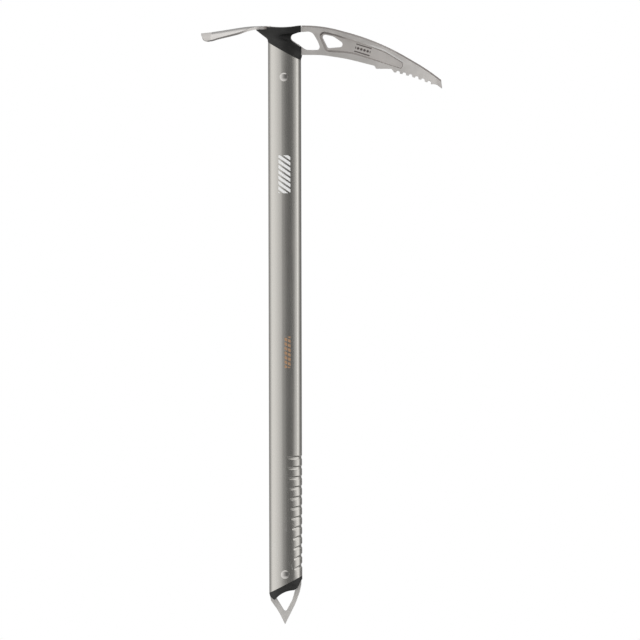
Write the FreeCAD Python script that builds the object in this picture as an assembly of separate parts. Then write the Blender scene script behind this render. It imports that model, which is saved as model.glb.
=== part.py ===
import FreeCAD, Part
import math
import os

from FreeCAD import Vector

# Ice axe, modelled upright as it is carried: the point of the spike is the origin,
# +Z runs up the shaft, +X points to the tip of the pick and -X to the adze.
# The plane Y = 0 is the middle plane of the pick. Millimetres.

# ---------------------------------------------------------------- driving sizes
TOP_Z = 599.7                # top of the pick's root, 600 mm class axe

# shaft: an oval tube whose outline is four tangent arcs
SHAFT_WIDTH = 33.1           # along X
SHAFT_DEPTH = 21.5           # along Y
SHAFT_END_RADIUS = 8.5       # the narrow ends of the oval
SHAFT_WALL = 1.8
SHAFT_TOP_Z = 574.3          # where the slanting top cut crosses the axis
SHAFT_TOP_SLOPE = -0.547     # the top cut falls towards the pick
SHAFT_FOOT_Z = 40.0          # where the slanting bottom cut crosses the axis
SHAFT_FOOT_SLOPE = 0.523     # the bottom cut rises towards the pick side

# grip: rounded grooves pressed round the pick side of the lower shaft
GROOVE_COUNT = 12
GROOVE_LOW_Z = 58.1
GROOVE_PITCH = 9.94
GROOVE_DEPTH = 0.65
GROOVE_RADIUS = 3.3
GROOVE_FADE = 0.85           # the share of its depth that a long groove loses by its ends
GROOVE_FLATTEST = 400.0      # the flattest bend of a short one
GROOVE_REACH_LOW = 10.0      # how near the axis the lowest groove starts
GROOVE_REACH_HIGH = 1.6      # and the highest one
GROOVE_TILT_LOW = 28.0       # the lowest groove slants down to its ends, the highest is level

# rivets through the shaft
RIVET_RADIUS = 2.5
RIVET_HEAD_RADIUS = 4.25
RIVET_HEAD_HEIGHT = 0.9
RIVET_RIM_HEIGHT = 0.2       # the dome starts this far above the flank's highest line
RIVET_HEAD_SEAT = 1.0        # and its rim reaches this far down to the flank's slope
HEAD_RIVET_Z = 548.8
SPIKE_RIVET_Z = 50.3

# head forging
HEAD_THICKNESS = 7.0         # flanges at the root of the pick
WEB_THICKNESS = 3.2          # floor of the pockets
PICK_TIP_THICKNESS = 3.2
TAPER_START_X = 45.0         # the pick thins from here
TAPER_END_X = 158.0          # to here
SPINE_CHAMFER = 1.3
POCKET_RISE = 4.0            # the pocket's cutter goes this far out, past the flange
TANG_HALF_WIDTH = 7.5
TANG_FOOT_Z = 531.0
CORE_TOP_Z = 596.0           # top of the forging where the cover wraps it
COVER_RIGHT_X = 16.6         # where the pick comes out of the cover
NECK_JOINT_X = -17.6         # where the adze's neck goes into the cover

# teeth of the pick, along a slightly bowed line that runs from the first tooth to the tip
TEETH_START = (109.8, 553.2)
TEETH_END = (147.2, 541.1)
TOOTH_BOW = 1.05             # how far the line rises above straight in its middle
TOOTH_LINE_RADIUS = 178.0    # the arc that this bow makes of nearly the whole line
NOTCH_COUNT = 6
FIRST_NOTCH_X = 113.6
NOTCH_PITCH_X = 6.2
NOTCH_LIFT = 0.2             # the notches are centred just above the line
NOTCH_RADIUS = 2.0

# adze
ADZE_START_X = -14.0
ADZE_BEVEL_X = -72.6         # from here the blade is ground to its cutting edge
ADZE_END_X = -82.4
ADZE_HALF_WIDTH = 24.0
ADZE_TOP_Z = 599.0
ADZE_BEND_X = -26.0          # the crest bends down from here
ADZE_BEND_LENGTH = 18.0      # over this far
ADZE_FALL = 0.16             # to this slope
ADZE_ARCH_RADIUS = 45.0      # of the crosswise arch
ADZE_ARCH_LENGTH = 26.0      # the arch grows over this far
ADZE_THICKNESS = 1.4
NECK_THICKNESS = 2.9
NECK_ARCH = 0.1              # the neck has this share of the arch at least
ADZE_STEPS = 9
ADZE_EDGE_X = -86.0          # the ground faces would meet the edge's thickness here
ADZE_EDGE_Z = 591.5
ADZE_EDGE_THICKNESS = 0.5
NECK_HALF_WIDTH = 6.0
ADZE_TRIM = 3.0              # its arched strips are this much wider before the plan trims them

# cover
PEG_RADIUS = 1.7
PEG_HALF_LENGTH = 5.5
SCOOP_START = (-9.5, 11.5, 590.4)
SCOOP_RUN = (24.0, -3.2, -3.6)
SCOOP_START_RADIUS = 0.6
SCOOP_END_RADIUS = 7.0
PACKER_OVERHANG = 1.5        # the packers reach this far below the tang
PEGS = ((-11.5, 588.0), (10.5, 571.5))

# spike
SPIKE_THICKNESS = 3.6
SPIKE_TANG_TOP_Z = 72.0
SPIKE_TANG_HALF_WIDTH = 9.0
SPIKE_TIP_X = -0.8
SPIKE_CORNER_Z = -0.38       # its rounding of 0.3 brings the point itself to Z = 0
SPIKE_GROUND_Z = 13.0        # below this the faces are ground to a thin point
SPIKE_EDGE_THICKNESS = 1.0
SPIKE_EDGE_Z = -1.0          # where the ground faces would be that thin
PLUG_TOP_Z = 78.0

# places that are clear of the shapes, where cutters and blanks can start and end
FAR = 60.0                   # longer than anything is deep
UNDER_HEAD_Z = 500.0
UNDER_COVER_Z = 540.0
UNDER_PLUG_Z = 20.0
ABOVE_Z = 620.0
MARGIN = 5.0
TOLERANCE = 1e-6


# ---------------------------------------------------------------- drawing helpers
def grow(corners, distance):
    """The closed outline moved outwards by a distance. Corners are (x, z, radius), clockwise."""
    moved = []
    count = len(corners)
    for i in range(count):
        x, z, radius = corners[i]
        before = corners[i - 1]
        after = corners[(i + 1) % count]
        ax, az = unit(x - before[0], z - before[1])
        bx, bz = unit(after[0] - x, after[1] - z)
        # outward normals of the two sides that meet here
        nx, nz = -az - bz, ax + bx
        scale = distance / (1.0 + ax * bx + az * bz)
        turn = ax * bz - az * bx
        new_radius = radius + distance if turn < 0 else max(radius - distance, 0.1)
        moved.append((x + nx * scale, z + nz * scale, new_radius))
    return moved


def unit(dx, dz):
    length = math.hypot(dx, dz)
    return dx / length, dz / length


def rounded_edges(corners, place, closed=True):
    """Edges through the corners, each rounded by its own radius. place maps (a, b) to a point."""
    count = len(corners)
    joints = []
    for i in range(count):
        x, z, radius = corners[i]
        if not closed and i in (0, count - 1):
            joints.append(((x, z), None, (x, z)))
            continue
        before = corners[i - 1]
        after = corners[(i + 1) % count]
        ax, az = unit(before[0] - x, before[1] - z)
        bx, bz = unit(after[0] - x, after[1] - z)
        half = math.acos(max(-1.0, min(1.0, ax * bx + az * bz))) / 2
        if radius <= 0:
            joints.append(((x, z), None, (x, z)))
            continue
        back = radius / math.tan(half)
        mx, mz = unit(ax + bx, az + bz)
        reach = radius / math.sin(half) - radius
        start = (x + ax * back, z + az * back)
        middle = (x + mx * reach, z + mz * reach)
        end = (x + bx * back, z + bz * back)
        joints.append((start, middle, end))
    edges = []
    for i in range(count):
        start, middle, end = joints[i]
        if middle is not None:
            arc = Part.Arc(place(*start), place(*middle), place(*end))
            edges.append(arc.toShape())
        if closed or i < count - 1:
            following = joints[(i + 1) % count][0]
            corner, next_corner = corners[i], corners[(i + 1) % count]
            dx, dz = unit(next_corner[0] - corner[0], next_corner[1] - corner[1])
            straight = (following[0] - end[0]) * dx + (following[1] - end[1]) * dz
            if straight < -TOLERANCE:
                raise ValueError(f"the roundings of corners {corner} and {next_corner} overlap")
            if straight > TOLERANCE:
                edges.append(Part.makeLine(place(*end), place(*following)))
    return edges


def in_plane_y(y):
    return lambda x, z: Vector(x, y, z)


def side_prism(corners, y_low=-FAR, y_high=FAR):
    """The outline drawn on the middle plane and pushed through from y_low to y_high."""
    wire = Part.Wire(rounded_edges(corners, in_plane_y(y_low)))
    return Part.Face(wire).extrude(Vector(0, y_high - y_low, 0))


def plan_prism(corners, z_low, z_high):
    """The outline drawn from above and pushed up from z_low to z_high."""
    wire = Part.Wire(rounded_edges(corners, lambda x, y: Vector(x, y, z_low)))
    return Part.Face(wire).extrude(Vector(0, 0, z_high - z_low))


def below_slope(z_at_axis, slope):
    """Everything below a plane that slants along X."""
    corners = [
        (-FAR, z_at_axis - slope * FAR, 0),
        (FAR, z_at_axis + slope * FAR, 0),
        (FAR, -FAR, 0),
        (-FAR, -FAR, 0),
    ]
    return side_prism(corners)


def flank_radius(half_width, half_depth, end_radius):
    """The radius of the broad arcs that meet the narrow ends of an oval smoothly."""
    end_centre = half_width - end_radius
    return (end_centre**2 + half_depth**2 - end_radius**2) / (2 * (half_depth - end_radius))


def oval_wire(left, right, half_depth, end_radius, z):
    """An oval of four tangent arcs at one height: two narrow ends and two broad flanks."""
    middle = (left + right) / 2
    half_width = (right - left) / 2
    end_centre = half_width - end_radius
    flank = flank_radius(half_width, half_depth, end_radius)
    drop = flank - half_depth
    length = math.hypot(end_centre, drop)
    jx = end_centre + end_radius * end_centre / length
    jy = end_radius * drop / length
    points = [
        (jx, -jy), (half_width, 0), (jx, jy), (0, half_depth),
        (-jx, jy), (-half_width, 0), (-jx, -jy), (0, -half_depth),
    ]
    spots = [Vector(middle + x, y, z) for x, y in points]
    arcs = [
        Part.Arc(spots[0], spots[1], spots[2]),
        Part.Arc(spots[2], spots[3], spots[4]),
        Part.Arc(spots[4], spots[5], spots[6]),
        Part.Arc(spots[6], spots[7], spots[0]),
    ]
    return Part.Wire([arc.toShape() for arc in arcs])


def shaft_bar(inset, z_low, z_high):
    """A solid bar with the shaft's outline, drawn in by inset."""
    half_width = SHAFT_WIDTH / 2 - inset
    wire = oval_wire(-half_width, half_width, SHAFT_DEPTH / 2 - inset, SHAFT_END_RADIUS - inset, z_low)
    return Part.Face(wire).extrude(Vector(0, 0, z_high - z_low))


def cross_pin(radius, x, z, half_length=FAR):
    return Part.makeCylinder(radius, 2 * half_length, Vector(x, -half_length, z), Vector(0, 1, 0))


# ---------------------------------------------------------------- outlines on the middle plane
# The pick with its root, the core under the cover and the tang, clockwise from the core's top.
SPINE = [
    (COVER_RIGHT_X, TOP_Z, 0),
    (37.4, TOP_Z, 130),
    (78.8, 588.6, 230),
    (108.0, 576.4, 230),
    (142.3, 556.5, 200),
    (156.7, 545.6, 0),
]
PICK_END = [
    (157.0, 541.5, 8),
    (157.7, 536.7, 0.3),
    (151.4, 541.6, 7),
]
TOOTH_LINE = [
    (TEETH_END[0], TEETH_END[1], 0),
    (
        (TEETH_START[0] + TEETH_END[0]) / 2,
        (TEETH_START[1] + TEETH_END[1]) / 2 + 2 * TOOTH_BOW,
        TOOTH_LINE_RADIUS,
    ),
    (TEETH_START[0], TEETH_START[1], 0),
]
PICK_BELLY = [
    (107.2, 556.6, 1.0),
    (91.9, 556.7, 0.5),
    (90.1, 559.7, 1.0),
    (62.5, 566.7, 150),
    (37.4, 570.5, 80),
    (COVER_RIGHT_X, 570.5, 0),
]
TANG_AND_CORE = [
    (TANG_HALF_WIDTH + 1.5, 563.5, 2),
    (TANG_HALF_WIDTH, 556.0, 4),
    (TANG_HALF_WIDTH, TANG_FOOT_Z, 2),
    (-TANG_HALF_WIDTH, TANG_FOOT_Z, 2),
    (-TANG_HALF_WIDTH, 578.0, 6),
    (-21.0, 595.0, 3),
    (-26.0, 597.4, 0),
    (NECK_JOINT_X, 597.4, 0),
    (NECK_JOINT_X, CORE_TOP_Z, 0),
    (COVER_RIGHT_X, CORE_TOP_Z, 0),
]

# The large hole for a carabiner and the small one in the pick.
CARABINER_HOLE = [
    (2.0, 588.6, 3.8),
    (15.0, 593.3, 14.0),
    (27.6, 594.1, 7.0),
    (33.9, 583.7, 30.0),
    (36.5, 575.2, 3.4),
    (21.5, 575.1, 8.0),
]
PICK_HOLE = [(36.2, 591.6, 2.6), (48.8, 589.1, 10.0), (63.8, 578.8, 3.0), (43.4, 577.1, 2.4)]

# The floor of the forged pocket on each side of the pick.
POCKET_FLOOR = [
    (35.2, 592.9, 2.8),
    (50.0, 589.8, 60),
    (75.0, 581.9, 100),
    (100.0, 573.4, 60),
    (118.0, 562.4, 2.0),
    (117.4, 557.2, 1.6),
    (67.0, 573.7, 60),
    (42.9, 575.6, 1.6),
]


# ---------------------------------------------------------------- head forging
def pick_blank():
    """The pick, core and tang as one plate, tapering in thickness towards the tip."""
    outline = SPINE + PICK_END + TOOTH_LINE + PICK_BELLY + TANG_AND_CORE
    plate = side_prism(outline, -HEAD_THICKNESS / 2, HEAD_THICKNESS / 2)
    root = HEAD_THICKNESS / 2
    tip = PICK_TIP_THICKNESS / 2
    taper = [
        (-FAR, root, 0), (TAPER_START_X, root, 0), (TAPER_END_X, tip, 0),
        (TAPER_END_X, -tip, 0), (TAPER_START_X, -root, 0), (-FAR, -root, 0),
    ]
    return plate.common(plan_prism(taper, UNDER_HEAD_Z, ABOVE_Z))


def spine_edges(shape):
    """The long edges of the pick's back, on both flanks."""
    shortest = 3.0
    slack = 0.1
    off_middle = 1.0
    below_corners = 2.5      # how far the rounded back can lie under the outline's corners
    found = []
    for edge in shape.Edges:
        box = edge.BoundBox
        middle = edge.valueAt((edge.FirstParameter + edge.LastParameter) / 2)
        along = box.XLength > shortest and box.XMin > COVER_RIGHT_X - slack
        high = middle.z > spine_height(middle.x) - below_corners
        if along and high and abs(middle.y) > off_middle:
            found.append(edge)
    return found


def spine_height(x):
    """The height of the straight lines between the corners of the back."""
    for (x0, z0, _), (x1, z1, _) in zip(SPINE, SPINE[1:]):
        if x0 <= x <= x1:
            return z0 + (z1 - z0) * (x - x0) / (x1 - x0)
    return TOP_Z


def pocket(side):
    """The cutter of one flank's pocket: a flat floor and walls that lean out at 45 degrees."""
    floor = Part.Wire(rounded_edges(POCKET_FLOOR, in_plane_y(side * WEB_THICKNESS / 2)))
    mouth_y = side * (WEB_THICKNESS / 2 + POCKET_RISE)
    mouth = Part.Wire(rounded_edges(grow(POCKET_FLOOR, POCKET_RISE), in_plane_y(mouth_y)))
    return Part.makeLoft([floor, mouth], True, True)


def notches():
    """The round notches between the teeth, centred along the bowed tooth line."""
    cutters = []
    for i in range(NOTCH_COUNT):
        x = FIRST_NOTCH_X + i * NOTCH_PITCH_X
        share = (x - TEETH_START[0]) / (TEETH_END[0] - TEETH_START[0])
        straight = TEETH_START[1] + (TEETH_END[1] - TEETH_START[1]) * share
        z = straight + 4 * TOOTH_BOW * share * (1 - share) + NOTCH_LIFT
        cutters.append(cross_pin(NOTCH_RADIUS, x, z))
    return cutters


def adze_section(x):
    """One crosswise section of the adze: x, height of its crest, thickness, radius of its arch."""
    past_bend = max(0.0, ADZE_BEND_X - x - ADZE_BEND_LENGTH)
    in_bend = min(max(0.0, ADZE_BEND_X - x), ADZE_BEND_LENGTH)
    crest = ADZE_TOP_Z - ADZE_FALL * (in_bend**2 / (2 * ADZE_BEND_LENGTH) + past_bend)
    share = (ADZE_START_X - x) / (ADZE_START_X - ADZE_BEVEL_X)
    thickness = NECK_THICKNESS + (ADZE_THICKNESS - NECK_THICKNESS) * share
    # the arch sets in smoothly, from a flat neck
    grown = min(1.0, (ADZE_START_X - x) / ADZE_ARCH_LENGTH)
    arch = max(grown**2 * (3 - 2 * grown), NECK_ARCH)
    return x, crest, thickness, ADZE_ARCH_RADIUS / arch


def arch_wire(x, crest, thickness, radius):
    """A crosswise strip of plate, arched over the X axis and wider than the adze."""
    half = ADZE_HALF_WIDTH + ADZE_TRIM
    sag = radius - math.sqrt(radius**2 - half**2)
    top = Part.Arc(Vector(x, -half, crest - sag), Vector(x, 0, crest), Vector(x, half, crest - sag))
    base = crest - thickness
    low = Part.Arc(Vector(x, half, base - sag), Vector(x, 0, base), Vector(x, -half, base - sag))
    right = Part.makeLine(Vector(x, half, crest - sag), Vector(x, half, base - sag))
    left = Part.makeLine(Vector(x, -half, base - sag), Vector(x, -half, crest - sag))
    return Part.Wire([top.toShape(), right, low.toShape(), left])


ADZE_PLAN = [
    (-13.0, NECK_HALF_WIDTH, 0),
    (-13.0, -NECK_HALF_WIDTH, 0),
    (-25.0, -NECK_HALF_WIDTH, 14),
    (-44.0, -ADZE_HALF_WIDTH + 6, 30),
    (-79.4, -ADZE_HALF_WIDTH - 0.8, 6.0),
    (ADZE_END_X - 2.4, 0, 60),
    (-79.4, ADZE_HALF_WIDTH + 0.8, 6.0),
    (-44.0, ADZE_HALF_WIDTH - 6, 30),
    (-25.0, NECK_HALF_WIDTH, 14),
]


def adze():
    """The arched blade with its ground cutting edge, and the neck that joins it to the core."""
    step = (ADZE_BEVEL_X - ADZE_START_X) / ADZE_STEPS
    sections = [adze_section(ADZE_START_X + i * step) for i in range(ADZE_STEPS + 1)]
    edge = (ADZE_EDGE_X, ADZE_EDGE_Z, ADZE_EDGE_THICKNESS, ADZE_ARCH_RADIUS)
    blade = Part.makeLoft([arch_wire(*section) for section in sections], True, False)
    bevel = Part.makeLoft([arch_wire(*sections[-1]), arch_wire(*edge)], True, True)
    plan = plan_prism(ADZE_PLAN, UNDER_HEAD_Z, ABOVE_Z)
    return blade.fuse(bevel).common(plan)


def head_forging():
    blank = pick_blank()
    blank = blank.makeChamfer(SPINE_CHAMFER, spine_edges(blank))
    forging = blank.cut([pocket(-1), pocket(1)])
    forging = forging.cut([side_prism(CARABINER_HOLE), side_prism(PICK_HOLE)])
    forging = forging.cut(notches())
    forging = forging.fuse(adze())
    forging = forging.cut([cross_pin(PEG_RADIUS, x, z) for x, z in PEGS])
    forging = forging.cut(cross_pin(RIVET_RADIUS, 0, HEAD_RIVET_Z))
    return forging.removeSplitter()


# ---------------------------------------------------------------- shaft
def groove(index):
    """The cutter of one grip groove: a round bar bent along the outline, shallow at its ends."""
    z = GROOVE_LOW_Z + index * GROOVE_PITCH
    share = index / (GROOVE_COUNT - 1)
    reach = GROOVE_REACH_LOW + (GROOVE_REACH_HIGH - GROOVE_REACH_LOW) * share
    end_centre = SHAFT_WIDTH / 2 - SHAFT_END_RADIUS
    half_depth = SHAFT_DEPTH / 2
    flank = flank_radius(SHAFT_WIDTH / 2, half_depth, SHAFT_END_RADIUS)
    junction = math.atan2(flank - half_depth, end_centre)
    lift = GROOVE_RADIUS - GROOVE_DEPTH
    bend = SHAFT_END_RADIUS + lift
    up = Vector(0, 0, 1)
    sweep = 2 * math.degrees(junction)
    nose = Part.makeTorus(bend, GROOVE_RADIUS, Vector(0, 0, 0), up, 0, 360, sweep)
    nose.rotate(Vector(0, 0, 0), up, -sweep / 2)
    nose.translate(Vector(end_centre, 0, z))
    # the bar goes on with a flatter bend than the flank's, so that it rises out of the metal
    run = end_centre + bend * math.cos(junction) - reach
    curve = 1 / (flank + lift) - 2 * GROOVE_DEPTH * GROOVE_FADE / run**2
    path = 1 / max(curve, 1 / GROOVE_FLATTEST)
    centre_x = end_centre - (path - bend) * math.cos(junction)
    centre_y = (path - bend) * math.sin(junction)
    tip = math.acos((reach - centre_x) / path)
    sweep = math.degrees(tip - junction)
    bars = []
    for side in (-1, 1):
        bar = Part.makeTorus(path, GROOVE_RADIUS, Vector(0, 0, 0), up, 0, 360, sweep)
        bar.rotate(Vector(0, 0, 0), up, math.degrees(junction if side > 0 else -tip))
        bar.translate(Vector(centre_x, -side * centre_y, z))
        tip_y = side * (path * math.sin(tip) - centre_y)
        bars.extend([bar, Part.makeSphere(GROOVE_RADIUS, Vector(reach, tip_y, z))])
    tilt = GROOVE_TILT_LOW * (1 - share)
    cutter = nose.fuse(bars)
    cutter.rotate(Vector(SHAFT_WIDTH / 2, 0, z), Vector(0, 1, 0), -tilt)
    return cutter


def shaft_tube():
    bar = shaft_bar(0, 0, ABOVE_Z)
    tube = bar.cut(shaft_bar(SHAFT_WALL, -MARGIN, ABOVE_Z + MARGIN))
    tube = tube.common(below_slope(SHAFT_TOP_Z, SHAFT_TOP_SLOPE))
    tube = tube.cut(below_slope(SHAFT_FOOT_Z, SHAFT_FOOT_SLOPE))
    for index in range(GROOVE_COUNT):
        tube = tube.cut(groove(index))
    tube = tube.cut(cross_pin(RIVET_RADIUS, 0, HEAD_RIVET_Z))
    return tube.cut(cross_pin(RIVET_RADIUS, 0, SPIKE_RIVET_Z))


def rivet(z):
    """A solid rivet with a domed head on each side, seated on the oval flanks."""
    half_depth = SHAFT_DEPTH / 2
    dome_radius = (RIVET_HEAD_RADIUS**2 + RIVET_HEAD_HEIGHT**2) / (2 * RIVET_HEAD_HEIGHT)
    pin = cross_pin(RIVET_RADIUS, 0, z, half_depth)
    for side in (-1, 1):
        base = Vector(0, side * (half_depth - RIVET_HEAD_SEAT), z)
        top = RIVET_RIM_HEIGHT + RIVET_HEAD_HEIGHT
        outward = Vector(0, side, 0)
        collar = Part.makeCylinder(RIVET_HEAD_RADIUS, RIVET_HEAD_SEAT + top, base, outward)
        centre = Vector(0, side * (half_depth + top - dome_radius), z)
        head = collar.common(Part.makeSphere(dome_radius, centre))
        head = head.cut(shaft_bar(0, z - 2 * RIVET_HEAD_RADIUS, z + 2 * RIVET_HEAD_RADIUS))
        pin = pin.fuse(head)
    return pin.removeSplitter()


# ---------------------------------------------------------------- cover
COVER_OUTLINE = [
    (-28.4, 595.4, 0.4),
    (-28.0, 596.2, 0.4),
    (NECK_JOINT_X, 596.2, 0),
    (NECK_JOINT_X, 598.6, 0.8),
    (0.5, 597.4, 90),
    (13.5, 599.5, 20),
    (COVER_RIGHT_X, 599.7, 0.5),
    (COVER_RIGHT_X, 586.0, 0),
    (18.6, 581.0, 0),
    (18.4, 574.6, 2.5),
    (17.9, 570.5, 0),
    (16.55, 566.0, 4),
    (16.55, 545.0, 0),
    (-17.0, 545.0, 0),
    (-16.7, 586.2, 3),
]
# Level sections of the cover: height, left end, right end, half depth, end radius.
COVER_SECTIONS = [
    (566.0, -16.55, 16.55, 10.75, 8.5),
    (571.0, -16.55, 17.7, 10.75, 8.6),
    (583.0, -16.55, 18.0, 10.75, 8.5),
    (585.5, -17.4, 18.1, 10.5, 8.1),
    (590.0, -22.5, 18.5, 9.2, 6.5),
    (595.0, -29.5, 20.0, 7.6, 5.2),
    (600.0, -35.0, 21.0, 6.4, 4.4),
]


def cover_body():
    """The outside of the cover: the shaft's oval, drawn out to the head's long thin top."""
    wires = [oval_wire(left, right, depth, end, z) for z, left, right, depth, end in COVER_SECTIONS]
    upper = Part.makeLoft(wires, True, False)
    lower = shaft_bar(0, UNDER_COVER_Z, COVER_SECTIONS[0][0])
    body = upper.fuse(lower)
    body = body.common(side_prism(COVER_OUTLINE))
    return body.cut(below_slope(SHAFT_TOP_Z, SHAFT_TOP_SLOPE))


def thumb_scoop(side):
    """The cutter of the flute that runs out to the left of the carabiner hole."""
    x, y, z = SCOOP_START
    start = Vector(x, side * y, z)
    run_x, run_y, run_z = SCOOP_RUN
    run = Vector(run_x, side * run_y, run_z)
    return Part.makeCone(SCOOP_START_RADIUS, SCOOP_END_RADIUS, run.Length, start, run)


def flank_half(side):
    """Everything on one side of the middle plane."""
    corner = Vector(-FAR, min(0, side * FAR), 0)
    return Part.makeBox(2 * FAR, FAR, ABOVE_Z, corner)


def cover_half(side, head):
    body = cover_body()
    body = body.cut(side_prism(CARABINER_HOLE))
    body = body.cut(thumb_scoop(side))
    body = body.cut(head)
    shell = body.common(flank_half(side))
    pegs = [cross_pin(PEG_RADIUS, x, z, PEG_HALF_LENGTH) for x, z in PEGS]
    if side < 0:
        return shell.fuse(pegs).removeSplitter()
    return shell.cut(pegs)


def tang_packer(side, head):
    """Half of the filling that holds the tang in the middle of the tube."""
    bar = shaft_bar(SHAFT_WALL, TANG_FOOT_Z - PACKER_OVERHANG, TOP_Z)
    bar = bar.common(below_slope(SHAFT_TOP_Z, SHAFT_TOP_SLOPE))
    bar = bar.cut(head)
    bar = bar.cut([cross_pin(PEG_RADIUS, x, z) for x, z in PEGS])
    bar = bar.cut(cross_pin(RIVET_RADIUS, 0, HEAD_RIVET_Z))
    return bar.common(flank_half(side))


# ---------------------------------------------------------------- spike
EYE = [
    (-11.2, 29.0, 1.0),
    (-2.5, 36.5, 26),
    (10.6, 38.5, 1.0),
    (6.6, 24.4, 25),
    (-0.4, 11.6, 1.8),
]
SPIKE_OUTLINE = [
    (SPIKE_TIP_X, SPIKE_CORNER_Z, 0.3),
    (-6.8, 12.4, 60),
    (-14.9, 23.6, 3),
    (-15.7, 29.5, 2),
    (-13.0, 33.5, 2),
    (-SPIKE_TANG_HALF_WIDTH, 36.0, 2),
    (-SPIKE_TANG_HALF_WIDTH, SPIKE_TANG_TOP_Z, 2),
    (SPIKE_TANG_HALF_WIDTH, SPIKE_TANG_TOP_Z, 2),
    (SPIKE_TANG_HALF_WIDTH, 46.5, 2),
    (15.7, 45.4, 1),
    (15.4, 39.0, 12),
    (13.6, 31.5, 12),
    (9.6, 20.6, 30),
]
PLUG_OUTLINE = [
    (-11.0, 24.6, 1.0),
    (-15.2, 27.6, 2.5),
    (-17.0, 32.0, 0),
    (-17.0, PLUG_TOP_Z, 0),
    (17.0, PLUG_TOP_Z, 0),
    (17.0, 45.6, 0),
    (15.0, 43.4, 3),
    (12.0, 36.5, 3),
    (9.0, 34.6, 2),
    (-1.5, 33.6, 24),
]


def on_cross_plane(z, y):
    return Vector(-FAR, y, z)


def point_taper():
    """The space between the two faces, which are ground towards each other below the eye."""
    half = SPIKE_THICKNESS / 2
    edge = SPIKE_EDGE_THICKNESS / 2
    top = SPIKE_TANG_TOP_Z + MARGIN
    faces = [
        (SPIKE_EDGE_Z, edge, 0), (SPIKE_GROUND_Z, half, 0), (top, half, 0),
        (top, -half, 0), (SPIKE_GROUND_Z, -half, 0), (SPIKE_EDGE_Z, -edge, 0),
    ]
    return Part.Face(Part.Wire(rounded_edges(faces, on_cross_plane))).extrude(Vector(2 * FAR, 0, 0))


def spike_plate():
    plate = side_prism(SPIKE_OUTLINE, -SPIKE_THICKNESS / 2, SPIKE_THICKNESS / 2)
    plate = plate.cut(side_prism(EYE))
    plate = plate.common(point_taper())
    return plate.cut(cross_pin(RIVET_RADIUS, 0, SPIKE_RIVET_Z))


def spike_plug(plate):
    outside = shaft_bar(0, UNDER_PLUG_Z, PLUG_TOP_Z).common(below_slope(SHAFT_FOOT_Z, SHAFT_FOOT_SLOPE))
    inside = shaft_bar(SHAFT_WALL, UNDER_PLUG_Z, PLUG_TOP_Z)
    plug = outside.fuse(inside).common(side_prism(PLUG_OUTLINE))
    plug = plug.cut(plate)
    return plug.cut(cross_pin(RIVET_RADIUS, 0, SPIKE_RIVET_Z))


# ---------------------------------------------------------------- all the pieces
def main():
    os.makedirs("parts", exist_ok=True)
    head = head_forging()
    plate = spike_plate()
    pieces = {
        "head_forging": head,
        "head_cover_front": cover_half(-1, head),
        "head_cover_rear": cover_half(1, head),
        "tang_packer_front": tang_packer(-1, head),
        "tang_packer_rear": tang_packer(1, head),
        "head_rivet": rivet(HEAD_RIVET_Z),
        "shaft_tube": shaft_tube(),
        "spike_plate": plate,
        "spike_plug": spike_plug(plate),
        "spike_rivet": rivet(SPIKE_RIVET_Z),
    }
    for name, shape in pieces.items():
        shape.exportStep("parts/" + name + ".step")
        box = shape.BoundBox
        print(name, shape.isValid(), len(shape.Solids), round(shape.Volume / 1000, 2), "cm3",
              [round(v, 1) for v in (box.XMin, box.XMax, box.YMin, box.YMax, box.ZMin, box.ZMax)])


main()
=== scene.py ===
import math

import bpy
from mathutils import Matrix, Vector

# Ice axe: looks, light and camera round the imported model. Metres, +Z up the shaft,
# +X to the tip of the pick, and the camera looks roughly along +Y.

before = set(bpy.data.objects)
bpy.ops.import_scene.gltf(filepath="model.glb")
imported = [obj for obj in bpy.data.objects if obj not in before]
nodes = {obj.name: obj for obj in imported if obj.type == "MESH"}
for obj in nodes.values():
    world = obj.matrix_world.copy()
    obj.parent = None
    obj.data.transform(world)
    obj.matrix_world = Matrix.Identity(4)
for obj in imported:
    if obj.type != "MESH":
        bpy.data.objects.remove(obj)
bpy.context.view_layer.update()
MM = 0.001

# ---------------------------------------------------------------- camera
VIEW_AZIMUTH = 3.65          # degrees to the right of the axe's own front
VIEW_ELEVATION = 3.7
VIEW_ROLL = 0.1335
VIEW_TARGET = Vector((34.9, 0.0, 304.94)) * MM    # the middle of the picture
VIEW_DISTANCE = 24.0
FRAME_WIDTH = 0.640          # what the picture spans at the target
SENSOR_WIDTH = 36.0


def make_camera():
    data = bpy.data.cameras.new("camera")
    data.sensor_width = SENSOR_WIDTH
    data.lens = SENSOR_WIDTH * VIEW_DISTANCE / FRAME_WIDTH
    data.clip_start = 0.1
    data.clip_end = 100.0
    camera = bpy.data.objects.new("camera", data)
    bpy.context.scene.collection.objects.link(camera)
    az = math.radians(VIEW_AZIMUTH)
    el = math.radians(VIEW_ELEVATION)
    back = Vector((math.sin(az) * math.cos(el), -math.cos(az) * math.cos(el), math.sin(el)))
    camera.location = VIEW_TARGET + back * VIEW_DISTANCE
    turn = (-back).to_track_quat("-Z", "Y").to_matrix()
    roll = Matrix.Rotation(-math.radians(VIEW_ROLL), 3, "Z")
    camera.rotation_euler = (turn @ roll).to_euler()
    bpy.context.scene.camera = camera


make_camera()


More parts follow.
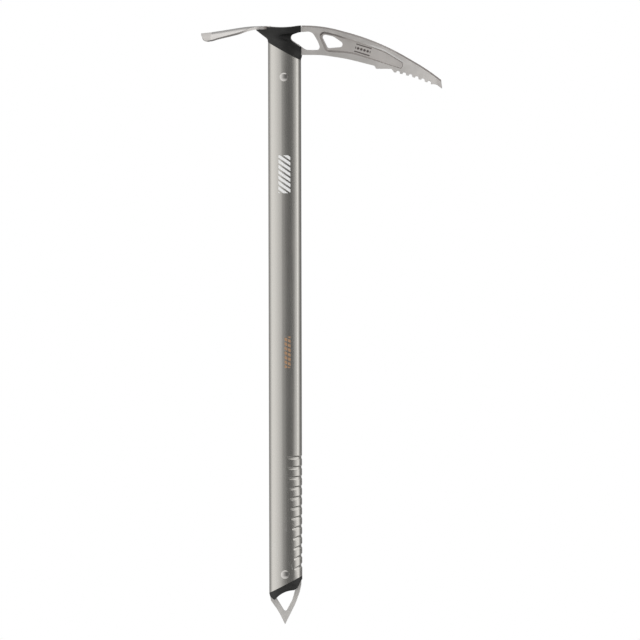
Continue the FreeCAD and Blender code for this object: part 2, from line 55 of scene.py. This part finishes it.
# ---------------------------------------------------------------- node helpers
class Graph:
    """A node tree being built. Inputs can be numbers, colours or other nodes' outputs."""

    def __init__(self, tree):
        self.tree = tree
        tree.nodes.clear()

    def add(self, kind, inputs=None, **settings):
        node = self.tree.nodes.new(kind)
        for name, value in settings.items():
            setattr(node, name, value)
        for name, value in (inputs or {}).items():
            self.put(node.inputs[name], value)
        return node

    def put(self, socket, value):
        if isinstance(value, bpy.types.NodeSocket):
            self.tree.links.new(value, socket)
        elif isinstance(value, tuple) and len(value) == 3 and socket.type == "RGBA":
            socket.default_value = (*value, 1.0)
        else:
            socket.default_value = value

    def math(self, operation, a, b=0.0, c=0.0, clamp=False):
        node = self.add("ShaderNodeMath", {0: a, 1: b, 2: c}, operation=operation, use_clamp=clamp)
        return node.outputs[0]

    def fade(self, value, low, high):
        """0 below low, 1 above high and smooth between. low may be the larger one."""
        flip = low > high
        node = self.add("ShaderNodeMapRange", {"Value": value}, interpolation_type="SMOOTHSTEP")
        node.inputs["From Min"].default_value = min(low, high)
        node.inputs["From Max"].default_value = max(low, high)
        node.inputs["To Min"].default_value = 1.0 if flip else 0.0
        node.inputs["To Max"].default_value = 0.0 if flip else 1.0
        return node.outputs["Result"]

    def scaled(self, value, from_low, from_high, to_low, to_high):
        node = self.add("ShaderNodeMapRange", {"Value": value})
        node.inputs["From Min"].default_value = from_low
        node.inputs["From Max"].default_value = from_high
        node.inputs["To Min"].default_value = to_low
        node.inputs["To Max"].default_value = to_high
        return node.outputs["Result"]

    def both(self, *masks):
        product = masks[0]
        for mask in masks[1:]:
            product = self.math("MULTIPLY", product, mask)
        return product

    def either(self, *masks):
        largest = masks[0]
        for mask in masks[1:]:
            largest = self.math("MAXIMUM", largest, mask)
        return largest

    def between(self, value, low, high):
        return self.both(self.math("GREATER_THAN", value, low), self.math("LESS_THAN", value, high))

    def mix(self, share, a, b, blend="MIX"):
        node = self.add("ShaderNodeMix", data_type="RGBA", blend_type=blend)
        self.put(node.inputs["Factor"], share)
        colours = [s for s in node.inputs if s.type == "RGBA"]
        self.put(colours[0], a)
        self.put(colours[1], b)
        return [s for s in node.outputs if s.type == "RGBA"][0]

    def ramp(self, value, stops, interpolation="LINEAR"):
        node = self.add("ShaderNodeValToRGB", {"Fac": value})
        band = node.color_ramp
        band.interpolation = interpolation
        while len(band.elements) > 1:
            band.elements.remove(band.elements[-1])
        for i, (position, colour) in enumerate(stops):
            element = band.elements[0] if i == 0 else band.elements.new(position)
            element.position = position
            element.color = (*colour, 1.0) if isinstance(colour, tuple) else (colour,) * 3 + (1.0,)
        return node.outputs["Color"]

    def stretched(self, vector, scale):
        node = self.add("ShaderNodeVectorMath", {0: vector}, operation="MULTIPLY")
        node.inputs[1].default_value = scale
        return node.outputs[0]

    def noise(self, vector, scale, detail=2.0, roughness=0.5, distortion=0.0):
        inputs = {
            "Vector": vector, "Scale": scale, "Detail": detail,
            "Roughness": roughness, "Distortion": distortion,
        }
        return self.add("ShaderNodeTexNoise", inputs).outputs["Fac"]

    def bump(self, height, strength, distance, normal=None):
        inputs = {"Height": height, "Strength": strength, "Distance": distance}
        if normal is not None:
            inputs["Normal"] = normal
        return self.add("ShaderNodeBump", inputs).outputs["Normal"]


class Surface(Graph):
    """A material: a Principled shader whose inputs come from the point on the object."""

    def __init__(self, name):
        self.material = bpy.data.materials.new(name)
        self.material.use_nodes = True
        super().__init__(self.material.node_tree)
        self.output = self.add("ShaderNodeOutputMaterial")
        self.shader = self.add("ShaderNodeBsdfPrincipled")
        self.tree.links.new(self.shader.outputs["BSDF"], self.output.inputs["Surface"])
        self.place = self.add("ShaderNodeTexCoord").outputs["Object"]
        parts = self.add("ShaderNodeSeparateXYZ", {"Vector": self.place})
        self.x, self.y, self.z = parts.outputs

    def say(self, **inputs):
        for name, value in inputs.items():
            self.put(self.shader.inputs[name.replace("_", " ")], value)

    def turned(self, a, b, angle):
        """The first coordinate of (a, b) in axes that are turned by angle."""
        first = self.math("MULTIPLY", a, math.cos(angle))
        return self.math("ADD", first, self.math("MULTIPLY", b, math.sin(angle)))

    def part_of_normal(self, axis):
        normal = self.add("ShaderNodeTexCoord").outputs["Normal"]
        return self.add("ShaderNodeSeparateXYZ", {"Vector": normal}).outputs[axis]

    def edge_mask(self, radius):
        """1 along sharp edges and corners, 0 on flats."""
        bevel = self.add("ShaderNodeBevel", {"Radius": radius}, samples=8)
        plain = self.add("ShaderNodeNewGeometry").outputs["Normal"]
        pair = {0: bevel.outputs[0], 1: plain}
        dot = self.add("ShaderNodeVectorMath", pair, operation="DOT_PRODUCT")
        return self.fade(dot.outputs["Value"], 0.995, 0.85)


# ---------------------------------------------------------------- materials
SCUFF_TOP_Z = 200.0 * MM     # scuffs start here and are thickest from SCUFF_FULL_Z down
SCUFF_FULL_Z = 40.0 * MM

# The printed marks on the front of the shaft: a block of slanted bars, and lower down
# two columns of small orange dashes.
BLOCK_X = (-5.8 * MM, 6.2 * MM)
BLOCK_Z = (432.6 * MM, 470.5 * MM)
BAR_SLOPE = 0.7
BAR_PITCH = 5.4 * MM
BAR_SHARE = 0.62             # of the pitch that is painted
DASH_COLUMN_1 = (0.0 * MM, 2.6 * MM)
DASH_COLUMN_2 = (3.4 * MM, 6.0 * MM)
DASH_Z = (257.5 * MM, 289.0 * MM)
DASH_SLOPE = 0.45
DASH_PITCH = 4.6 * MM
DASH_SHARE = 0.66
PAINT_WHITE = (0.93, 0.93, 0.92)
PAINT_ORANGE = (0.36, 0.17, 0.05)


def slanted_stripes(s, slope, pitch, share):
    """1 in parallel stripes across the shaft that fall to the right by slope."""
    height = s.math("ADD", s.z, s.math("MULTIPLY", s.x, slope))
    return s.math("LESS_THAN", s.math("FRACT", s.math("DIVIDE", height, pitch)), share)


def printed_marks(s):
    """The masks of the white and the orange print."""
    front = s.math("LESS_THAN", s.y, 0.0)
    bars = slanted_stripes(s, BAR_SLOPE, BAR_PITCH, BAR_SHARE)
    white = s.both(front, bars, s.between(s.x, *BLOCK_X), s.between(s.z, *BLOCK_Z))
    dashes = slanted_stripes(s, DASH_SLOPE, DASH_PITCH, DASH_SHARE)
    columns = s.either(s.between(s.x, *DASH_COLUMN_1), s.between(s.x, *DASH_COLUMN_2))
    return white, s.both(front, columns, dashes, s.between(s.z, *DASH_Z))


def shaft_aluminium():
    s = Surface("shaft_aluminium")
    grain = s.noise(s.stretched(s.place, (2600.0, 2600.0, 18.0)), 1.0, 3.0, 0.6)
    cloud = s.noise(s.stretched(s.place, (1.0, 1.0, 0.25)), 60.0, 3.0, 0.55)
    speck = s.noise(s.place, 1400.0, 1.0)
    tone = s.scaled(grain, 0.3, 0.7, -0.012, 0.012)
    tone = s.math("ADD", tone, s.scaled(cloud, 0.3, 0.7, -0.02, 0.02))
    tone = s.math("ADD", tone, s.scaled(speck, 0.3, 0.7, -0.008, 0.008))
    base = s.mix(s.math("ADD", tone, 0.5), (0.455, 0.44, 0.412), (0.64, 0.62, 0.58))
    # scuffs where the shaft is pushed into the snow
    low = s.fade(s.z, SCUFF_TOP_Z, SCUFF_FULL_Z)
    scuff = s.noise(s.stretched(s.place, (500.0, 500.0, 60.0)), 1.0, 2.0, 0.7, 1.5)
    scuff = s.both(s.fade(scuff, 0.60, 0.66), low)
    base = s.mix(s.math("MULTIPLY", scuff, 0.35), base, (0.72, 0.72, 0.71))
    white, orange = printed_marks(s)
    base = s.mix(s.math("MULTIPLY", orange, 0.8), base, PAINT_ORANGE)
    base = s.mix(white, base, PAINT_WHITE)
    ink = s.either(white, orange)
    rough = s.scaled(grain, 0.3, 0.7, 0.24, 0.30)
    rough = s.math("ADD", rough, s.scaled(cloud, 0.3, 0.7, -0.02, 0.02))
    rough = s.math("ADD", rough, s.math("MULTIPLY", scuff, 0.15))
    rough = s.math("MAXIMUM", rough, s.math("MULTIPLY", ink, 0.5))
    height = s.math("ADD", s.math("MULTIPLY", grain, 0.6), s.math("MULTIPLY", scuff, 0.6))
    s.say(Base_Color=base, Metallic=s.math("SUBTRACT", 1.0, ink), Roughness=rough)
    s.say(Normal=s.bump(height, 0.25, 0.01 * MM))
    return s.material


# The stamp on the front of the pick: two short lines with a row of dimples between them.
STAMP_X = 78.6 * MM
STAMP_Z = 575.6 * MM
STAMP_SLANT = math.radians(-17)
STAMP_HALF_LENGTH = 8.0 * MM
STAMP_LINE_OFFSET = 3.7 * MM
STAMP_LINE_HALF = 0.60 * MM
DIMPLE_PITCH = 3.3 * MM
DIMPLE_RADIUS = 1.6 * MM


def stamp_mask(s):
    """1 where the steel is stamped in."""
    dx = s.math("SUBTRACT", s.x, STAMP_X)
    dz = s.math("SUBTRACT", s.z, STAMP_Z)
    along = s.turned(dx, dz, STAMP_SLANT)
    across = s.turned(dz, dx, -STAMP_SLANT)
    length = s.math("LESS_THAN", s.math("ABSOLUTE", along), STAMP_HALF_LENGTH)
    off_line = s.math("ABSOLUTE", s.math("SUBTRACT", s.math("ABSOLUTE", across), STAMP_LINE_OFFSET))
    line = s.fade(off_line, STAMP_LINE_HALF * 1.2, STAMP_LINE_HALF * 0.6)
    step = s.math("SUBTRACT", s.math("FRACT", s.math("DIVIDE", along, DIMPLE_PITCH)), 0.5)
    step = s.math("MULTIPLY", step, DIMPLE_PITCH)
    square = s.math("ADD", s.math("MULTIPLY", step, step), s.math("MULTIPLY", across, across))
    dimple = s.fade(s.math("SQRT", square), DIMPLE_RADIUS, DIMPLE_RADIUS * 0.6)
    front = s.math("LESS_THAN", s.y, 0.0)
    return s.both(front, length, s.either(line, dimple))


# The painted highlight on the rim above the outer half of the pocket follows two straight runs.
# Its lower side is at RIM_Z where x is RIM_X, falls by RIM_FALL from there and faster past the
# bend.
RIM_X = 75.0 * MM
RIM_Z = 583.2 * MM
RIM_FALL = 0.34
RIM_BEND_X = 100.0 * MM
RIM_BEND_FALL = 0.271        # added to the fall past the bend
RIM_WIDTH = 1.8 * MM
RIM_START_X = (80.0 * MM, 92.0 * MM)
RIM_END_X = (122.0 * MM, 117.0 * MM)


def pocket_rim_highlight(s):
    """1 in the narrow band of painted highlight just above the outer half of the pocket."""
    fall = s.math("MULTIPLY", s.math("SUBTRACT", s.x, RIM_X), RIM_FALL)
    past_bend = s.math("MAXIMUM", s.math("SUBTRACT", s.x, RIM_BEND_X), 0.0)
    fall = s.math("ADD", fall, s.math("MULTIPLY", past_bend, RIM_BEND_FALL))
    above = s.math("SUBTRACT", s.math("ADD", s.z, fall), RIM_Z)
    band = s.both(s.math("GREATER_THAN", above, 0.0), s.fade(above, RIM_WIDTH, RIM_WIDTH * 0.5))
    return s.both(band, s.fade(s.x, *RIM_START_X), s.fade(s.x, *RIM_END_X))


# Where the head's finish changes. A pair is where a change starts and where it is complete.
PICK_START_X = 16.0 * MM     # right of this the slanted walls and the spine are dark
BRIGHT_X = (60.0 * MM, 150.0 * MM)
POCKET_START_X = 30.0 * MM
POCKET_HALF_DEPTH = 1.7 * MM
FAINT_START_X = (56.0 * MM, 64.0 * MM)
FAINT_END_X = (96.0 * MM, 84.0 * MM)
POCKET_END_X = (108.0 * MM, 116.0 * MM)
ADZE_GRIND_X = (-72.4 * MM, -72.8 * MM)
ADZE_TOP_X = (-16.0 * MM, -24.0 * MM)
ADZE_SIDE_X = (-34.0 * MM, -42.0 * MM)
NECK_BROWN_X = (-22.0 * MM, -18.5 * MM)
NECK_BROWN_END_X = -17.0 * MM
SHOULDER_X = (15.0 * MM, 17.6 * MM)
SHOULDER_Z = 590.0 * MM

BELT_BRIGHT = (1.0, 0.965, 0.93)
PAINTED_HIGHLIGHT = (1.0, 0.985, 0.97)
EDGE_HIGHLIGHT = (0.94, 0.92, 0.90)
POCKET_TINT = (0.60, 0.54, 0.51)
PAINTED_WALL_SHADE = (0.26, 0.235, 0.225)
STAMP_DARK = (0.13, 0.11, 0.105)
GROUND_STEEL = (0.62, 0.60, 0.58)
ADZE_SIDE_SHADE = (0.30, 0.28, 0.265)
SMOOTH_STEEL = (0.60, 0.58, 0.56)
NECK_BROWN = (0.17, 0.13, 0.11)


def head_steel():
    s = Surface("head_steel")
    fine = s.noise(s.stretched(s.place, (700.0, 2200.0, 2200.0)), 1.0, 3.0, 0.65)
    cloud = s.noise(s.place, 90.0, 4.0, 0.6, 0.3)
    edge = s.edge_mask(0.9 * MM)
    stamp = stamp_mask(s)
    tone = s.scaled(fine, 0.3, 0.7, -0.10, 0.10)
    tone = s.math("ADD", tone, s.scaled(cloud, 0.3, 0.7, -0.16, 0.16))
    base = s.mix(s.math("ADD", tone, 0.5), (0.60, 0.575, 0.55), (0.80, 0.77, 0.74))
    # the pick is brighter towards its tip
    base = s.mix(s.scaled(s.x, *BRIGHT_X, 0.0, 0.8), base, BELT_BRIGHT)
    in_pocket = s.both(
        s.math("LESS_THAN", s.math("ABSOLUTE", s.y), POCKET_HALF_DEPTH),
        s.math("GREATER_THAN", s.x, POCKET_START_X),
    )
    base = s.mix(s.math("MULTIPLY", in_pocket, 0.22), base, POCKET_TINT)
    # painted shade on the slanted walls and the spine, which turn away from the light. The shade
    # is deeper at the pocket's far end, and faint under the middle of its top edge.
    facing = s.math("ABSOLUTE", s.part_of_normal("Y"))
    slanted = s.both(s.fade(facing, 0.97, 0.88), s.math("GREATER_THAN", s.x, PICK_START_X))
    faint = s.both(
        s.math("LESS_THAN", s.part_of_normal("Z"), 0.0),
        s.fade(s.x, *FAINT_START_X),
        s.fade(s.x, *FAINT_END_X),
    )
    # how much painted shade the slanted walls and the spine get
    scale = s.math("SUBTRACT", 0.75, s.math("MULTIPLY", faint, 0.5))
    scale = s.math("ADD", scale, s.math("MULTIPLY", s.fade(s.x, *POCKET_END_X), 0.2))
    base = s.mix(s.both(slanted, scale), base, PAINTED_WALL_SHADE)
    level_flank = s.math("SUBTRACT", 1.0, slanted)
    # a painted highlight along the pocket's upper rim
    base = s.mix(s.both(pocket_rim_highlight(s), level_flank, 0.95), base, PAINTED_HIGHLIGHT)
    # the adze's cutting edge is ground
    grind = s.noise(s.stretched(s.place, (300.0, 4200.0, 300.0)), 1.0, 2.0, 0.6)
    ground = s.fade(s.x, *ADZE_GRIND_X)
    base = s.mix(s.both(ground, s.scaled(grind, 0.3, 0.7, 0.2, 0.7)), base, GROUND_STEEL)
    # painted highlight along the sharp edges of the level faces
    base = s.mix(s.both(edge, level_flank, 0.6), base, EDGE_HIGHLIGHT)
    base = s.mix(s.math("MULTIPLY", stamp, 0.95), base, STAMP_DARK)
    # the top of the adze is smooth, and painted shade darkens its sheared sides
    level = s.fade(s.math("ABSOLUTE", s.part_of_normal("Z")), 0.45, 0.65)
    shaded_sides = s.both(s.fade(s.x, *ADZE_SIDE_X), s.math("SUBTRACT", 1.0, level))
    base = s.mix(s.math("MULTIPLY", shaded_sides, 0.7), base, ADZE_SIDE_SHADE)
    smooth = s.both(s.fade(s.x, *ADZE_TOP_X), level, s.math("SUBTRACT", 1.0, ground))
    base = s.mix(s.math("MULTIPLY", smooth, 0.5), base, SMOOTH_STEEL)
    # darker and browner where the neck goes under the cover, a painted highlight where the pick
    # comes out of it
    neck_brown = s.both(s.fade(s.x, *NECK_BROWN_X), s.math("LESS_THAN", s.x, NECK_BROWN_END_X))
    base = s.mix(s.math("MULTIPLY", neck_brown, 0.7), base, NECK_BROWN)
    shoulder = s.both(s.between(s.x, *SHOULDER_X), s.math("GREATER_THAN", s.z, SHOULDER_Z))
    base = s.mix(s.math("MULTIPLY", shoulder, 0.8), base, PAINTED_HIGHLIGHT)
    rough = s.scaled(cloud, 0.3, 0.7, 0.44, 0.54)
    rough = s.math("SUBTRACT", rough, s.math("MULTIPLY", smooth, 0.30))
    rough = s.math("SUBTRACT", rough, s.math("MULTIPLY", edge, 0.08))
    height = s.math("ADD", fine, s.math("MULTIPLY", cloud, 0.8))
    height = s.math("SUBTRACT", height, s.math("MULTIPLY", stamp, 6.0))
    s.say(Base_Color=base, Metallic=1.0, Roughness=rough)
    s.say(Normal=s.bump(height, 0.35, 0.02 * MM))
    return s.material


def spike_steel():
    s = Surface("spike_steel")
    fine = s.noise(s.stretched(s.place, (2400.0, 2400.0, 500.0)), 1.0, 3.0, 0.6)
    cloud = s.noise(s.place, 110.0, 3.0, 0.6)
    edge = s.edge_mask(0.4 * MM)
    tone = s.scaled(fine, 0.3, 0.7, -0.12, 0.12)
    tone = s.math("ADD", tone, s.scaled(cloud, 0.3, 0.7, -0.16, 0.16))
    base = s.mix(s.math("ADD", tone, 0.5), (0.71, 0.69, 0.665), (0.90, 0.875, 0.84))
    # painted highlight along the sharp edges
    base = s.mix(s.math("MULTIPLY", edge, 0.5), base, (0.92, 0.90, 0.88))
    s.say(Base_Color=base, Metallic=1.0, Roughness=s.scaled(cloud, 0.3, 0.7, 0.48, 0.60))
    s.say(Normal=s.bump(fine, 0.35, 0.02 * MM))
    return s.material


def rivet_metal():
    s = Surface("rivet_metal")
    cloud = s.noise(s.place, 500.0, 3.0, 0.6)
    rings = s.noise(s.stretched(s.place, (3000.0, 200.0, 3000.0)), 1.0, 2.0)
    edge = s.edge_mask(0.3 * MM)
    base = s.mix(s.scaled(cloud, 0.3, 0.7, 0.2, 0.8), (0.56, 0.54, 0.515), (0.74, 0.715, 0.685))
    # painted highlight along the sharp edges
    base = s.mix(s.math("MULTIPLY", edge, 0.4), base, (0.78, 0.77, 0.76))
    s.say(Base_Color=base, Metallic=1.0, Roughness=s.scaled(cloud, 0.3, 0.7, 0.12, 0.20))
    s.say(Normal=s.bump(rings, 0.3, 0.01 * MM))
    return s.material


# Where the cover is painted darker: painted shade in an oval on each thumb scoop, and a darker
# strip along the lower left side of the carabiner hole, which falls to the right by LIP_SLANT.
SCOOP_X = 6.0 * MM
SCOOP_Z = 589.0 * MM
SCOOP_HALF_LENGTH = 16.0 * MM
SCOOP_HALF_HEIGHT = 6.5 * MM
LIP_X = 10.5 * MM
LIP_Z = 579.0 * MM
LIP_SLANT = math.radians(30)
LIP_WIDTH = (-4.5 * MM, -1.0 * MM)
LIP_START = (-12.0 * MM, -6.0 * MM)


def scoop_shade_and_lip_mask(s):
    """1 where the cover is painted darkest: shade in the thumb scoops and a darker strip by the
    hole.
    """
    dx = s.math("DIVIDE", s.math("SUBTRACT", s.x, SCOOP_X), SCOOP_HALF_LENGTH)
    dz = s.math("DIVIDE", s.math("SUBTRACT", s.z, SCOOP_Z), SCOOP_HALF_HEIGHT)
    square = s.math("ADD", s.math("MULTIPLY", dx, dx), s.math("MULTIPLY", dz, dz))
    scoop = s.fade(square, 1.0, 0.3)
    dx = s.math("SUBTRACT", s.x, LIP_X)
    dz = s.math("SUBTRACT", s.z, LIP_Z)
    lip = s.both(s.fade(s.turned(dz, dx, LIP_SLANT), *LIP_WIDTH), s.fade(dx, *LIP_START))
    return s.either(s.math("MULTIPLY", scoop, 0.85), s.math("MULTIPLY", lip, 0.7))


def times(colour, factor):
    return tuple(factor * value for value in colour)


def moulded_nylon(name, dark, light, grain_scale):
    s = Surface(name)
    pebble = s.noise(s.place, grain_scale, 3.0, 0.6)
    mottle = s.noise(s.place, grain_scale / 3.5, 2.0, 0.5)
    cloud = s.noise(s.place, 120.0, 2.0, 0.5)
    rub = s.noise(s.stretched(s.place, (260.0, 260.0, 700.0)), 1.0, 3.0, 0.65, 0.8)
    edge = s.edge_mask(0.5 * MM)
    scoop_shade_and_lip = scoop_shade_and_lip_mask(s)
    base = s.mix(s.scaled(cloud, 0.3, 0.7, 0.0, 1.0), dark, light)
    base = s.mix(s.both(s.fade(rub, 0.52, 0.72), 0.5), base, times(light, 1.9))
    # painted shade along the edges, which turn away from the light
    base = s.mix(s.math("MULTIPLY", edge, 0.7), base, times(dark, 0.4))
    # painted shade in the thumb scoops, and a darker strip by the carabiner hole
    base = s.mix(scoop_shade_and_lip, base, times(dark, 0.3))
    rough = s.scaled(pebble, 0.3, 0.7, 0.40, 0.54)
    rough = s.math("ADD", rough, s.math("MULTIPLY", scoop_shade_and_lip, 0.16))
    height = s.math("ADD", pebble, s.math("MULTIPLY", mottle, 1.6))
    s.say(Base_Color=base, Roughness=rough, Specular_IOR_Level=0.35)
    s.say(Normal=s.bump(height, 0.5, 0.04 * MM))
    return s.material


BLACK_RANGE = ((0.013, 0.0127, 0.0120), (0.023, 0.0225, 0.0213))
PACKER_RANGE = ((0.05, 0.05, 0.048), (0.08, 0.08, 0.078))

materials = {
    "head_steel": head_steel(),
    "spike_steel": spike_steel(),
    "shaft_aluminium": shaft_aluminium(),
    "rivet_metal": rivet_metal(),
    "black_nylon": moulded_nylon("black_nylon", *BLACK_RANGE, 1500.0),
    "packer_nylon": moulded_nylon("packer_nylon", *PACKER_RANGE, 1200.0),
}
NODE_FINISH = {
    "head_forging": "head_steel",
    "head_cover_front": "black_nylon",
    "head_cover_rear": "black_nylon",
    "tang_packer_front": "packer_nylon",
    "tang_packer_rear": "packer_nylon",
    "head_rivet": "rivet_metal",
    "shaft_tube": "shaft_aluminium",
    "spike_plate": "spike_steel",
    "spike_plug": "black_nylon",
    "spike_rivet": "rivet_metal",
}
for node_name, finish in NODE_FINISH.items():
    for slot in nodes[node_name].material_slots:
        slot.material = materials[finish]


# ---------------------------------------------------------------- light
# Brightness of the studio by direction: degrees round from the front, negative to the left.
# One ring is level with the axe and one each is half way up and half way down.
RING_LEVEL = [
    (-180, 0.40), (-150, 0.40), (-120, 0.40), (-105, 0.55), (-90, 0.95), (-72, 1.30),
    (-45, 1.08), (-29, 0.84), (-14, 0.50), (0, 0.28), (14, 0.16), (28, 0.165), (38, 0.18),
    (46, 0.60), (56, 1.55), (72, 1.40), (88, 0.70), (108, 0.22), (150, 0.32), (180, 0.40),
]
RING_UPPER = [
    (-180, 1.15), (-120, 0.80), (-90, 1.00), (-60, 1.20), (-20, 1.15), (20, 1.00),
    (60, 1.40), (90, 0.80), (120, 0.60), (180, 1.15),
]
RING_LOWER = [
    (-180, 1.00), (-120, 0.70), (-90, 0.90), (-60, 1.10), (-20, 0.90), (20, 0.60),
    (50, 0.15), (90, 0.10), (120, 0.40), (180, 1.00),
]
ZENITH = 0.25
NADIR = 0.50
# The upward part of the direction where one band starts to change to the next, and where
# the change is complete.
UPPER_FADE = (0.42, 0.62)
LOWER_FADE = (-0.20, -0.55)
ZENITH_FADE = (0.92, 0.99)
NADIR_FADE = (-0.75, -0.95)
WHITE = (1.0, 1.0, 1.0)


def ring(g, share, stops):
    """One ring of the studio as a closed band of brightness."""
    brightest = max(value for _, value in stops)
    marks = [(degrees / 360 + 0.5, value / brightest) for degrees, value in stops]
    return g.mix(1.0, g.ramp(share, marks), (brightest,) * 3, "MULTIPLY")


def studio_light():
    """The rings light the axe, and behind it the picture is plain white."""
    world = bpy.data.worlds.new("studio")
    world.use_nodes = True
    bpy.context.scene.world = world
    g = Graph(world.node_tree)
    direction = g.add("ShaderNodeTexCoord").outputs["Generated"]
    parts = g.add("ShaderNodeSeparateXYZ", {"Vector": direction})
    x, y, z = parts.outputs
    angle = g.math("ARCTAN2", x, g.math("MULTIPLY", y, -1.0))
    share = g.math("ADD", g.math("DIVIDE", angle, 2 * math.pi), 0.5)
    light = ring(g, share, RING_LEVEL)
    light = g.mix(g.fade(z, *UPPER_FADE), light, ring(g, share, RING_UPPER))
    light = g.mix(g.fade(z, *LOWER_FADE), light, ring(g, share, RING_LOWER))
    light = g.mix(g.fade(z, *ZENITH_FADE), light, (ZENITH,) * 3)
    light = g.mix(g.fade(z, *NADIR_FADE), light, (NADIR,) * 3)
    seen = g.add("ShaderNodeBackground", {"Color": WHITE, "Strength": 1.0})
    lit = g.add("ShaderNodeBackground", {"Color": light, "Strength": 1.0})
    which = g.add("ShaderNodeLightPath").outputs["Is Camera Ray"]
    pair = {"Fac": which, 1: lit.outputs[0], 2: seen.outputs[0]}
    mixed = g.add("ShaderNodeMixShader", pair)
    g.add("ShaderNodeOutputWorld", {"Surface": mixed.outputs[0]})


FLOOR_RADIUS = 0.60
FLOOR_CORNERS = 96
FLOOR_GLOW = 0.5             # light that the floor gives the axe from below


def make_floor():
    """A round pale floor under the spike. In the picture it is plain white, with no shadow."""
    mesh = bpy.data.meshes.new("floor")
    turns = [2 * math.pi * i / FLOOR_CORNERS for i in range(FLOOR_CORNERS)]
    rim = [(FLOOR_RADIUS * math.cos(turn), FLOOR_RADIUS * math.sin(turn), 0.0) for turn in turns]
    mesh.from_pydata(rim, [], [list(range(FLOOR_CORNERS))])
    floor = bpy.data.objects.new("floor", mesh)
    bpy.context.scene.collection.objects.link(floor)
    s = Surface("floor")
    s.say(Base_Color=(0.80, 0.80, 0.79), Roughness=0.8)
    s.say(Emission_Color=WHITE, Emission_Strength=FLOOR_GLOW)
    bright = s.add("ShaderNodeEmission", {"Color": WHITE, "Strength": 1.0})
    which = s.add("ShaderNodeLightPath").outputs["Is Camera Ray"]
    pair = {"Fac": which, 1: s.shader.outputs[0], 2: bright.outputs[0]}
    mixed = s.add("ShaderNodeMixShader", pair)
    s.put(s.output.inputs["Surface"], mixed.outputs[0])
    mesh.materials.append(s.material)
    floor.visible_glossy = False


studio_light()
make_floor()
bpy.context.scene.view_settings.view_transform = "Standard"
bpy.context.scene.view_settings.look = "None"
